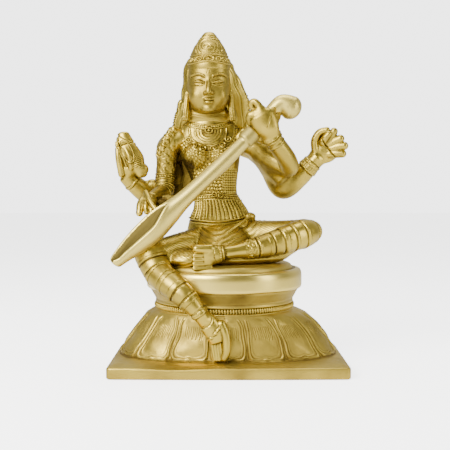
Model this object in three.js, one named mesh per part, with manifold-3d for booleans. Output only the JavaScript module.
// A seated four-armed goddess playing a veena, cast in brass in one piece with her lotus seat and
// plinth plate. Millimetres, +Z up. The origin is the middle of the plate's underside, +X is the
// viewer's right and the figure faces -Y.
import * as THREE from 'three';
import { mergeVertices } from 'three/addons/utils/BufferGeometryUtils.js';
import Module from 'manifold-3d';

// Plinth plate
const plateWidth = 170;
const plateDepth = 122;
const plateThickness = 8.4;
const plateCorner = 3;
const plateEdge = 0.8;

// Lotus: a ring of hanging petals, round above and oval below
const lotusWidth = 166;
const lotusDepth = 112;
const lotusHeight = 34.6;
const petalCount = 16;
const petalRise = 1.8;
const petalDrop = 3.2;

// Seat: a beaded neck under a thick round lip, with a cushion on it
const seatOffset = -3;
const beadRadius = 53.8;
const beadHeight = 5;
const neckRadius = 51;
const neckHeight = 12;
const neckSwell = 1.4;
const lipRadius = 59;
const lipHeight = 13;
const lipRound = 3;
const grooveDepth = 1.6;
const cushionHeight = 5;
const cushionRadius = 51.5;
const cushionRound = 4.5;
const seatFacets = 28;

// The figure's own height, from the cushion to the crown's tip. Its pose, proportions and ornament
// are laid out on 176 equal parts of it.
const figureHeight = 176;
const partsTall = 176;

const lotusTop = plateThickness + lotusHeight;
const neckFoot = lotusTop + beadHeight;
const lipFoot = neckFoot + neckHeight;
const lipTop = lipFoot + lipHeight;
const seatTop = lipTop + cushionHeight;
const part = figureHeight / partsTall;
const bite = 1; // how far one form runs into the next, so that the casting is one body

const wasm = await Module();
wasm.setup();

function solid(geometry) {
  const bare = geometry.clone();
  bare.deleteAttribute('normal');
  bare.deleteAttribute('uv');
  const merged = mergeVertices(bare, 1e-4);
  return new wasm.Manifold(
    new wasm.Mesh({
      numProp: 3,
      vertProperties: new Float32Array(merged.attributes.position.array),
      triVerts: new Uint32Array(merged.index.array),
    }),
  );
}

// A closed skin over rings of points, shut at both ends by a fan. A fan's hub is the ring's middle,
// moved by `hubs`.
function skin(rings, hubs = [new THREE.Vector3(), new THREE.Vector3()]) {
  const sides = rings[0].length;
  const middle = (ring) =>
    ring.reduce((sum, p) => sum.add(p), new THREE.Vector3()).divideScalar(sides);
  const points = rings.flat();
  const foot = points.push(middle(rings[0]).add(hubs[0])) - 1;
  const head = points.push(middle(rings[rings.length - 1]).add(hubs[1])) - 1;
  const lastRing = (rings.length - 1) * sides;
  const faces = [];
  for (let i = 0; i < sides; i++) {
    const next = (i + 1) % sides;
    for (let row = 0; row < lastRing; row += sides) {
      faces.push(row + i, row + next, row + sides + next);
      faces.push(row + i, row + sides + next, row + sides + i);
    }
    faces.push(foot, next, i);
    faces.push(head, lastRing + i, lastRing + next);
  }
  const geometry = new THREE.BufferGeometry().setFromPoints(points);
  geometry.setIndex(faces);
  return solid(geometry);
}

// A station on a form's path: its place in parts of the figure from the middle of the cushion, and
// the half axes of its oval section.
const place = (x, y, z) => new THREE.Vector3(seatOffset + x * part, y * part, seatTop + z * part);
const station = (x, y, z, a, b = a) => ({ p: place(x, y, z), a: a * part, b: b * part });

// Stations between the given ones, on smooth curves. A band is a collar that stands proud.
function flow(stations, count, bands = []) {
  const path = new THREE.CatmullRomCurve3(stations.map((s) => s.p));
  const girth = new THREE.CatmullRomCurve3(stations.map((s) => new THREE.Vector3(s.a, s.b, 0)));
  const shoulder = 0.01;
  const shares = Array.from({ length: count + 1 }, (_, i) => i / count);
  for (const { at, half } of bands) {
    const top = half ? [at - half, at + half] : [at];
    shares.push(at - half - shoulder, ...top, at + half + shoulder);
  }
  shares.sort((s, t) => s - t);
  const kept = shares.filter((s, i) => s >= 0 && s <= 1 && (i === 0 || s - shares[i - 1] > 1e-4));
  return kept.map((s) => {
    const g = girth.getPoint(s);
    const band = bands.find((candidate) => Math.abs(s - candidate.at) <= candidate.half + 1e-6);
    const rise = band ? band.rise * part : 0;
    return { p: path.getPoint(s), a: g.x + rise, b: g.y + rise };
  });
}

// A form swept along its stations. `across` is the direction of the section's first half axis,
// `ends` says how far each end domes out, in least half axes, and `shape` scales the section by
// the angle round it and the station's number. A slender form's ends are plain points.
function sweep(stations, { sides = 10, across = [1, 0, 0], ends = [0.8, 0.8], shape } = {}) {
  const last = stations.length - 1;
  const frames = stations.map((s, k) => {
    const ahead = stations[Math.min(k + 1, last)].p;
    const behind = stations[Math.max(k - 1, 0)].p;
    const t = ahead.clone().sub(behind).normalize();
    const u = new THREE.Vector3(...across).projectOnPlane(t).normalize();
    return { ...s, t, u, v: t.clone().cross(u), k };
  });
  const ring = ({ p, a, b, u, v, k }, slide = new THREE.Vector3(), scale = 1) =>
    Array.from({ length: sides }, (_, i) => {
      const angle = (2 * Math.PI * i) / sides;
      const swell = scale * (shape ? shape(angle, k) : 1);
      return p
        .clone()
        .add(slide)
        .addScaledVector(u, Math.cos(angle) * a * swell)
        .addScaledVector(v, Math.sin(angle) * b * swell);
    });
  const reach = (end, share) => end.t.clone().multiplyScalar(share * Math.min(end.a, end.b));
  const slender = sides < 8;
  const rises = slender ? [] : [0.55, 0.93];
  const dome = (end, share) =>
    rises.map((rise) => ring(end, reach(end, share * rise), Math.sqrt(1 - rise * rise)));
  const [first, final] = [frames[0], frames[last]];
  const rings = [
    ...(ends[0] ? dome(first, -ends[0]).reverse() : []),
    ...frames.map((frame) => ring(frame)),
    ...(ends[1] ? dome(final, ends[1]) : []),
  ];
  return slender ? skin(rings, [reach(first, -ends[0]), reach(final, ends[1])]) : skin(rings);
}

// An egg-shaped boss with its half axes and turn.
function boss(x, y, z, [a, b, c], turn = [0, 0, 0], segments = [6, 4]) {
  const geometry = new THREE.SphereGeometry(1, ...segments);
  geometry.rotateX(Math.PI / 2);
  geometry.scale(a * part, b * part, c * part);
  const turned = new THREE.Euler(...turn.map(THREE.MathUtils.degToRad));
  const stance = new THREE.Matrix4().makeRotationFromEuler(turned).setPosition(place(x, y, z));
  geometry.applyMatrix4(stance);
  return solid(geometry);
}

function plate() {
  const half = [plateWidth / 2 - plateEdge, plateDepth / 2 - plateEdge];
  const corner = plateCorner - plateEdge;
  const outline = new THREE.Shape();
  outline.moveTo(half[0], -half[1] + corner);
  outline.absarc(half[0] - corner, half[1] - corner, corner, 0, Math.PI / 2);
  outline.absarc(-half[0] + corner, half[1] - corner, corner, Math.PI / 2, Math.PI);
  outline.absarc(-half[0] + corner, -half[1] + corner, corner, Math.PI, 1.5 * Math.PI);
  outline.absarc(half[0] - corner, -half[1] + corner, corner, 1.5 * Math.PI, 2 * Math.PI);
  const geometry = new THREE.ExtrudeGeometry(outline, {
    depth: plateThickness - 2 * plateEdge,
    curveSegments: 1,
    bevelThickness: plateEdge,
    bevelSize: plateEdge,
    bevelSegments: 1,
  });
  geometry.translate(0, 0, plateEdge);
  return solid(geometry);
}

// The bearing of a share of the way round the lotus's oval foot, by length. A share of 0 is the
// front.
function footBearing(share) {
  const fine = 1440;
  const bearing = (i) => (2 * Math.PI * i) / fine - Math.PI / 2;
  const lengths = [0];
  for (let i = 1; i <= fine; i++) {
    const middle = bearing(i - 0.5);
    const step = Math.hypot(lotusWidth * Math.sin(middle), lotusDepth * Math.cos(middle));
    lengths.push(lengths[i - 1] + step);
  }
  const turns = Math.floor(share);
  const length = (share - turns) * lengths[fine];
  return bearing(lengths.findIndex((reached) => reached >= length)) + 2 * Math.PI * turns;
}

// The lotus: a core that swells from the round seat to the oval foot, under petals that hang with
// their tips down. Each petal has a raised rim, a hollow field and a notched lower edge.
function lotus() {
  const columns = ['valley', 'rim', 'field', 'field', 'rim'];
  const across = [0, 0.11, 0.34, 0.66, 0.89];
  const fullness = 0.85;
  const proud = { valley: -0.8 * petalRise, rim: petalRise, field: 0.2 * petalRise };
  const tuck = { valley: 2 * petalDrop, rim: 0.2 * petalDrop, field: 0 };
  const spots = Array.from({ length: petalCount }, (_, petal) =>
    columns.map((kind, i) => {
      const share = (petal + across[i] + 0.5) / petalCount;
      return { kind, even: 2 * Math.PI * share - Math.PI / 2, foot: footBearing(share) };
    }),
  ).flat();
  const surface = ({ even, foot }, drop, rise) => {
    const grow = Math.pow(drop / lotusHeight, fullness);
    const angle = THREE.MathUtils.lerp(even, foot, grow);
    const a = THREE.MathUtils.lerp(beadRadius, lotusWidth / 2, grow) + rise;
    const b = THREE.MathUtils.lerp(beadRadius, lotusDepth / 2, grow) + rise;
    const middle = seatOffset * (1 - grow);
    return new THREE.Vector3(middle + a * Math.cos(angle), b * Math.sin(angle), lotusTop - drop);
  };
  const tips = lotusHeight - petalDrop;
  const edge = 0.012 * lotusHeight;
  const tip = ({ kind }) => tips - tuck[kind];
  const brim = ({ kind }) => (kind === 'valley' ? proud.valley : petalRise);
  return skin([
    spots.map((spot) => surface(spot, lotusHeight + bite, 0)),
    spots.map((spot) => surface(spot, tip(spot), proud.valley)),
    spots.map((spot) => surface(spot, tip(spot) - edge, brim(spot))),
    spots.map((spot) => surface(spot, tips * 0.82, proud[spot.kind])),
    spots.map((spot) => surface(spot, tips * 0.4, proud[spot.kind] * 0.8)),
    spots.map((spot) => surface(spot, 0, 0)),
  ]);
}

// The seat, turned about its own upright axis.
function seat() {
  const profile = [
    [0, lotusTop - bite],
    [neckRadius, lotusTop - bite],
    [beadRadius, lotusTop + beadHeight / 2],
    [neckRadius, neckFoot],
    [neckRadius + neckSwell, neckFoot + neckHeight / 2],
    [lipRadius, lipFoot],
    [lipRadius, lipTop - lipRound],
    [lipRadius - lipRound, lipTop],
    [cushionRadius, lipTop - grooveDepth],
    [cushionRadius, lipTop + cushionHeight / 2],
    [cushionRadius - cushionRound, seatTop],
    [0, seatTop],
  ];
  const points = profile.map(([radius, z]) => new THREE.Vector2(radius, z));
  const geometry = new THREE.LatheGeometry(points, seatFacets);
  geometry.rotateX(Math.PI / 2);
  geometry.translate(seatOffset, 0, 0);
  return solid(geometry);
}

// Trunk from the seat to the neck, with the pleated skirt of the bodice under a belt.
function trunk() {
  const stations = [
    station(-2, 6, -1, 27, 19),
    station(-2, 5, 20, 27, 18.5),
    station(-1.2, 4, 31, 24.6, 17),
    station(-3.3, 4, 38, 20.6, 15.4),
    station(-6.2, 4, 48, 16.6, 13),
    station(-6.4, 4, 50, 15, 11.8),
    station(-8, 4, 59, 16, 12),
    station(-9.6, 3.4, 75, 19.6, 13.6),
    station(-10.8, 3, 88, 25, 13),
    station(-11.5, 4, 95, 27, 11),
    station(-11.7, 4, 100, 19, 9.4),
    station(-11.7, 3, 104, 10.5, 8.8),
    station(-11.7, 1, 120, 8.4, 8.6),
  ];
  const skirt = [3, 4];
  const pleat = (angle, k) => (skirt.includes(k) ? 1 + 0.03 * Math.cos(angle * 8) : 1);
  return sweep(stations, { sides: 16, ends: [0, 0], shape: pleat });
}

// Breasts under the bodice, and the garland over the chest.
function chest() {
  const beads = 6;
  const garland = Array.from({ length: beads + 1 }, (_, i) => {
    const angle = (Math.PI * i) / beads;
    const low = Math.sin(angle);
    return station(-11.6 - 15 * Math.cos(angle), -2 - 11 * low, 102 - 17 * low, 1.7);
  });
  return [
    boss(-21, -7.5, 80, [9.2, 8, 9], [0, 0, 0], [8, 6]),
    boss(-2.6, -7.5, 80, [9.2, 8, 9], [0, 0, 0], [8, 6]),
    sweep(garland, { sides: 4, across: [0, 1, 0], ends: [0, 0] }),
  ];
}

// The head: an even oval with calm, plain features.
function head() {
  const forms = [
    sweep(
      [
        station(-11.6, -8, 111.4, 5.5, 5.2),
        station(-11.6, -5, 114.8, 10, 10),
        station(-11.6, -2.8, 121, 13, 13.2),
        station(-11.6, -1.2, 130, 14.2, 15.2),
        station(-11.6, -0.6, 139, 14.4, 15.4),
        station(-11.6, 0, 149, 14, 15),
      ],
      { sides: 12, ends: [0.6, 0] },
    ),
    sweep(
      [
        station(-11.6, -15.2, 139.5, 1.6, 1.4),
        station(-11.6, -16.6, 133, 1.9, 1.9),
        station(-11.6, -18, 127.2, 2.6, 2.4),
      ],
      { sides: 5, ends: [0, 0.5] },
    ),
    boss(-11.6, -15.2, 121.6, [4.2, 1.9, 1.2]),
    boss(-11.6, -14.9, 119.3, [3.3, 1.9, 1.2]),
  ];
  for (const side of [-1, 1]) {
    forms.push(boss(-11.6 + side * 6.4, -13.6, 132.6, [4, 1.8, 1.7], [0, 0, side * 20]));
    const brow = [-1, 0, 1].map((i) =>
      station(-11.6 + side * (6.6 + i * 4.6), -14.4 + 1.9 * (i + 0.4) ** 2, 138 - 1.5 * i * i, 1.1),
    );
    forms.push(sweep(brow, { sides: 4, across: [0, 1, 0], ends: [0, 0] }));
    // ear drawn down into its long pendant
    forms.push(
      sweep(
        [
          station(-11.6 + side * 14, -1, 135, 2, 2.6),
          station(-11.6 + side * 15.4, -1.6, 127, 2.4, 2.6),
          station(-11.6 + side * 17.2, -2.4, 116, 3.6, 4),
          station(-11.6 + side * 17.4, -1.4, 107, 3.2, 4),
        ],
        { sides: 5 },
      ),
    );
  }
  return forms;
}

// Tall ringed crown over a broad fillet with a round jewel.
function crown() {
  const tiers = [
    [146, 16.8],
    [152.8, 16.6],
    [153.4, 14.4],
    [160, 11.2],
    [160.8, 12],
    [166.6, 7.8],
    [167.4, 8.4],
    [174.5, 3.2],
  ];
  const stations = tiers.map(([z, r]) => station(-12, 0.4, z, r, r));
  return [
    sweep(stations, { sides: 12, ends: [0, 0.5] }),
    boss(-11.8, -16.4, 150.4, [4, 1.6, 2.6]),
  ];
}

// Hair combed over a cloth that falls behind the head to the shoulders and down the back.
function hair() {
  const stations = [
    station(-12, 3, 152, 16.8, 12),
    station(-11.9, 4.4, 141, 20, 13),
    station(-9.4, 6.4, 130, 24, 11.6),
    station(-8.6, 8.4, 120, 26.6, 10.4),
    station(-9.6, 10, 110, 29, 9.4),
    station(-11.6, 12, 98, 30.6, 8.4),
    station(-13.8, 13, 80, 25, 7),
    station(-15, 12.6, 51, 22, 5),
  ];
  const lock = (angle) => 1 + 0.035 * Math.cos(angle * 6);
  return sweep(stations, { sides: 12, ends: [0, 0.8], shape: lock });
}

const band = (at, half, rise) => ({ at, half, rise });

function arms() {
  const limb = (stations, steps, bands, across = [1, 0, 0]) =>
    sweep(flow(stations, steps, bands), { sides: 8, across, ends: [0, 0] });
  return [
    // the plucking arm, down at the viewer's left
    limb(
      [
        station(-33, 5, 94, 8.5, 8.6),
        station(-42.6, 3.4, 86.5, 8.6, 8.6),
        station(-44, 3, 74, 6.6, 7),
        station(-45.5, 2, 63, 7, 7),
        station(-46, -3, 53, 7.2, 6.8),
        station(-50, -15, 50, 6.2, 5.8),
        station(-53.4, -26, 48.4, 4.6, 4.4),
      ],
      7,
      [band(0.54, 0, 1.1), band(0.93, 0.02, 1.1)],
    ),
    // the raised arm with the book, viewer's left
    limb(
      [
        station(-34, 12, 90, 8, 8),
        station(-42, 14, 72, 7.2, 7.2),
        station(-47, 14, 50, 7.4, 7.2),
        station(-58.5, 9, 52.6, 7, 6.8),
        station(-65.6, 6, 58.6, 6.6, 6.4),
        station(-74.4, 2, 65.4, 5, 4.8),
      ],
      6,
      [band(0.87, 0, 1)],
    ),
    // the arm that stops the strings, viewer's right
    limb(
      [
        station(12, 5, 94, 9, 9),
        station(24, 2, 87, 8.4, 8.4),
        station(38, -3, 75.6, 8, 8),
        station(50.4, -9, 70.8, 7, 7),
        station(46.8, -14, 76.2, 6.8, 6.6),
        station(41.4, -20, 84.4, 6.4, 6.2),
        station(34.8, -26, 94, 5.4, 5),
      ],
      8,
      [band(0.93, 0.03, 1.2)],
      [0, 1, 0],
    ),
    // the arm with the raised open hand, viewer's right
    limb(
      [
        station(13, 10, 90, 9, 9),
        station(29.5, 10, 80.6, 7.8, 7.8),
        station(35.6, 10, 70, 7.4, 7.4),
        station(45.4, 9.6, 57, 8.8, 8.4),
        station(57, 8, 65, 7.2, 7),
        station(67.4, 5, 75.4, 5.8, 5.6),
        station(71, 4.4, 79.6, 5.4, 5),
      ],
      8,
      [band(0.87, 0.03, 1.6)],
      [0, 1, 0],
    ),
  ];
}

// A finger or toe through its joints, tapering to the tip.
function finger(joints, girth, sides = 5) {
  const taper = (k) => girth * (1 - (0.22 * k) / (joints.length - 1));
  return sweep(
    joints.map(([x, y, z], k) => station(x, y, z, taper(k))),
    { sides, across: [0.3, 1, 0.2], ends: [0, 0.8] },
  );
}

function hands() {
  return [
    // plucking hand over the strings
    boss(-53.6, -32, 46.6, [6.2, 7, 5.2], [20, 0, 0], [8, 5]),
    finger([[-50, -34, 48], [-47.8, -41.5, 44], [-47.4, -44.6, 38.2]], 2.4),
    finger([[-52.6, -34, 46], [-51.4, -42, 42], [-51.4, -44.6, 37.4]], 2.3),
    finger([[-55.6, -34, 45], [-56, -41, 41], [-55.6, -43, 36.8]], 2.2),
    finger([[-56.6, -30, 47], [-61.4, -35, 44], [-62.4, -40, 38.4]], 2.9),
    // hand round the palm-leaf book
    boss(-72, 0, 70, [7.4, 5.4, 7.6], [0, 30, 0], [8, 5]),
    sweep(
      [
        station(-64.4, -1.6, 69.4, 4.4, 4),
        station(-68.6, -1.8, 75.4, 8.6, 5),
        station(-72.6, -1.6, 83, 8, 5.2),
        station(-75.8, -0.8, 90.6, 6.6, 4.6),
        station(-76.6, 0, 96.6, 4.6, 3.4),
      ],
      { sides: 8, ends: [0.6, 0.4] },
    ),
    finger([[-77.6, -3, 66], [-79.8, -4.6, 79], [-80.4, -3.4, 90]], 2.5),
    finger([[-70.4, -4.4, 71], [-71.6, -6.2, 79], [-75.2, -4.6, 86]], 2.4),
    // stopping hand, its back to the viewer, with the neck of the veena behind it
    sweep(
      [
        station(34.8, -26, 93, 5.6, 4.8),
        station(30.6, -30, 99.4, 8, 5.2),
        station(27, -31.6, 107, 9.8, 5),
        station(27, -31, 112.6, 7.4, 4.2),
      ],
      { sides: 8, across: [0.86, 0, 0.5], ends: [0, 0.5] },
    ),
    finger([[26.8, -31, 111], [22.6, -32, 117.4], [17.8, -31, 119.8], [17, -29.4, 116]], 2.9),
    finger([[21, -30, 108], [17, -28, 106.6], [17.2, -24, 101]], 2.8),
    finger([[33, -30, 108], [34.4, -26, 113.4], [31.6, -20, 116.4]], 2.8),
    // open hand with thumb and forefinger joined
    sweep(
      [
        station(70.4, 4.4, 79, 5.6, 4.8),
        station(76, 3.4, 83.6, 9.6, 4.8),
        station(81.6, 2.6, 88.4, 9.4, 4.4),
      ],
      { sides: 8, across: [0.66, 0, -0.75], ends: [0, 0.5] },
    ),
    finger([[70.4, 2, 86], [69.8, 0.6, 95], [75.4, -0.6, 100.8], [80.6, -2, 99.4]], 2.6),
    finger([[76, 0, 91], [77.4, -2, 95], [79.8, -3, 97.6]], 2.5),
    finger([[80, 2.4, 91], [83.6, -0.6, 97.4], [86.4, -1.4, 100.6]], 2.5),
    finger([[83, 2.6, 89], [88.6, 0.2, 94], [88.6, -2.4, 95.4]], 2.6),
    finger([[84, 3, 85.6], [91, 0.8, 88.6], [93.4, -0.6, 89.4]], 2.6),
    finger([[84, 3.6, 81.6], [90, 2, 81.6], [92.4, 1.2, 81]], 2.6),
  ];
}

// Where the hanging leg passes the seat: a place just off the lip, on a bearing from the seat's
// middle, 0 at the front and growing to the viewer's left.
function offLip(bearing, gap, z) {
  const turn = THREE.MathUtils.degToRad(bearing);
  const reach = lipRadius + gap;
  return new THREE.Vector3(seatOffset - reach * Math.sin(turn), -reach * Math.cos(turn), z);
}

const hung = (bearing, gap, z, a, b = a) => ({
  p: offLip(bearing, gap, z),
  a: a * part,
  b: b * part,
});

function legs() {
  const hoops = (from, to, count) =>
    Array.from({ length: count }, (_, i) => band(from + ((to - from) * i) / (count - 1), 0, 0.8));
  const footFront = -lotusDepth / 2 - petalRise;
  const onLotus = (x, y, drop, a, b = a) => ({
    p: new THREE.Vector3(seatOffset + x * part, y, lotusTop - drop * lotusHeight),
    a: a * part,
    b: b * part,
  });
  return [
    // the leg folded flat on the seat: thigh, knee, shin and ankle
    sweep(
      flow(
        [
          station(6, 4, 16, 16, 15),
          station(24, -2, 19, 13.4, 12.4),
          station(42, -8, 20.6, 11.4, 11),
          station(59, -13, 22.6, 10.4, 10.4),
        ],
        4,
      ),
      { sides: 10, across: [0, 1, 0], ends: [0, 0.9] },
    ),
    sweep(
      flow(
        [
          station(62.4, -16, 22.4, 9.6, 10),
          station(48, -25, 19.4, 9.4, 10),
          station(34, -32, 15.8, 8.2, 9),
          station(20, -38, 12.6, 7, 7.6),
          station(6, -43.4, 9.6, 5.6, 6.2),
          station(-5, -45.6, 8.2, 5.4, 7),
        ],
        5,
        [...hoops(0.16, 0.54, 3), band(0.67, 0.03, 0.8), band(0.93, 0.03, 1.3)],
      ),
      { sides: 8, across: [0, 1, 0], ends: [0.9, 0] },
    ),
    // the hanging leg: thigh, knee, shin and ankle
    sweep(
      flow(
        [
          station(-9, 2, 14, 16, 15),
          station(-27, -14, 12.4, 12.6, 12),
          station(-42, -28, 9.6, 11, 11),
          station(-51, -37, 7, 10.4, 10.4),
        ],
        4,
      ),
      { sides: 10, across: [1, -1, 0], ends: [0, 0.9] },
    ),
    sweep(
      flow(
        [
          station(-52.4, -38, 7.4, 10, 10),
          hung(46, 5.6, seatTop - 4.4 * part, 9.4, 9.6),
          hung(34, 6.4, lipTop - lipHeight * 0.6, 9.2, 9.4),
          hung(24.6, 6.4, lipFoot - 3, 8.2, 8),
          hung(16.4, 4.6, neckFoot - 1.4, 6, 5.8),
          hung(13, 1.6, lotusTop - 3, 5.6, 5.6),
        ],
        5,
        [...hoops(0.16, 0.62, 4), band(0.76, 0.02, 0.8)],
      ),
      { sides: 8, across: [1, 0, 0], ends: [0.9, 0] },
    ),
    // its foot, pointing down the front of the lotus to the plate
    sweep(
      [
        onLotus(-15, footFront, -0.03, 6, 5.4),
        onLotus(-8.6, footFront, 0.17, 7.4, 5),
        onLotus(-4, footFront, 0.4, 7.6, 4.4),
        onLotus(-2.2, footFront, 0.64, 7.2, 3.8),
      ],
      { sides: 8, ends: [0, 0] },
    ),
    ...[0, 1, 2, 3, 4].map((toe) => {
      const girth = toe === 0 ? 3.4 : 2.1;
      const x = 3 - toe * 3.1;
      const drop = toe === 0 ? 0.79 : 0.87 - toe * 0.014;
      const root = onLotus(x, footFront, 0.52, girth);
      return sweep([root, onLotus(x, footFront - 0.4, drop, girth * 0.9)], { sides: 4 });
    }),
    // the folded foot on the seat
    sweep(
      [
        station(-4, -45.6, 8.2, 6.4, 5),
        station(-12, -47, 8.2, 7.4, 4.8),
        station(-17, -47.6, 8, 7.6, 4.4),
      ],
      { sides: 8, across: [0, 0, 1], ends: [0, 0] },
    ),
    ...[0, 1, 2, 3, 4].map((toe) =>
      finger([[-13, -48, 13.6 - toe * 3], [-20.6, -49, 13 - toe * 3]], toe === 0 ? 3 : 1.9, 4),
    ),
  ];
}

// The veena: a long hollow-backed body with a flat face, drawn out to the neck, with a collar and a
// gourd-shaped head that turns down.
function veena() {
  const across = [-0.62, -0.2, 0.76];
  return [
    sweep(
      flow(
        [
          station(-76.4, -50, 3.4, 3.6, 3.6),
          station(-71, -49.4, 8.2, 6.6, 5.4),
          station(-62, -48.4, 17, 9.6, 7),
          station(-52, -47, 26.4, 10.6, 7.4),
          station(-42, -45, 35.6, 9.4, 7),
          station(-31, -43, 45.4, 7.2, 6.2),
          station(-16, -39, 59.4, 6.2, 5.8),
          station(2, -33.6, 77, 5.4, 5.4),
          station(16, -29, 91, 4.9, 4.9),
        ],
        9,
      ),
      { sides: 10, across, ends: [0.5, 0] },
    ),
    sweep([station(14.4, -29.4, 89.6, 6.6), station(21.4, -27, 96.6, 6.8)], {
      sides: 10,
      across,
      ends: [0, 0],
    }),
    sweep(
      flow(
        [
          station(27, -25.6, 102, 4.8),
          station(31.4, -24.4, 107, 4.8),
          station(37, -22.6, 114, 5),
          station(43, -21.4, 119, 6.2, 6),
          station(48.4, -20.6, 117.4, 8.4, 7.4),
        ],
        5,
      ),
      { sides: 8, across: [0, 1, 0], ends: [0, 0.9] },
    ),
  ];
}

// Cloth: the lap between the thighs, the sash across it from the knot on the hip, and the frilled
// cloth on the shoulder.
function drapery() {
  return [
    sweep(
      [
        station(-2, -2, 18, 22, 12),
        station(-2, -16, 15, 20, 12),
        station(-4, -30, 10.4, 14, 9.6),
        station(-5, -40, 7, 9, 7),
      ],
      { sides: 8, ends: [0, 0] },
    ),
    sweep(
      [
        station(18, -8, 32, 2.4),
        station(10, -15, 26.6, 2.2),
        station(0, -24, 22.4, 2.2),
        station(-8, -34, 16.4, 2.2),
      ],
      { sides: 4, ends: [0, 0.6] },
    ),
    boss(20, -4, 33.4, [4.4, 4, 3.4]),
    sweep([station(-36, 1, 95, 3), station(-43, -1, 91, 3.2), station(-49.6, 2, 84, 2.4)], {
      sides: 5,
    }),
  ];
}

const forms = [
  plate(),
  lotus(),
  seat(),
  trunk(),
  ...chest(),
  ...head(),
  ...crown(),
  hair(),
  ...arms(),
  ...hands(),
  ...legs(),
  ...veena(),
  ...drapery(),
];

function mesh(name, body) {
  const { numProp, vertProperties, triVerts } = body.getMesh();
  const geometry = new THREE.BufferGeometry();
  const places = new THREE.BufferAttribute(new Float32Array(vertProperties), numProp);
  geometry.setAttribute('position', places);
  geometry.setIndex(new THREE.BufferAttribute(new Uint32Array(triVerts), 1));
  geometry.computeVertexNormals();
  const brass = new THREE.MeshStandardMaterial({ color: 0xb4934a, roughness: 0.38, metalness: 0.9 });
  const result = new THREE.Mesh(geometry, brass);
  result.name = name;
  return result;
}

const figure = new THREE.Group();
figure.add(mesh('saraswati_figure', forms.reduce((whole, form) => whole.add(form))));

export default figure;
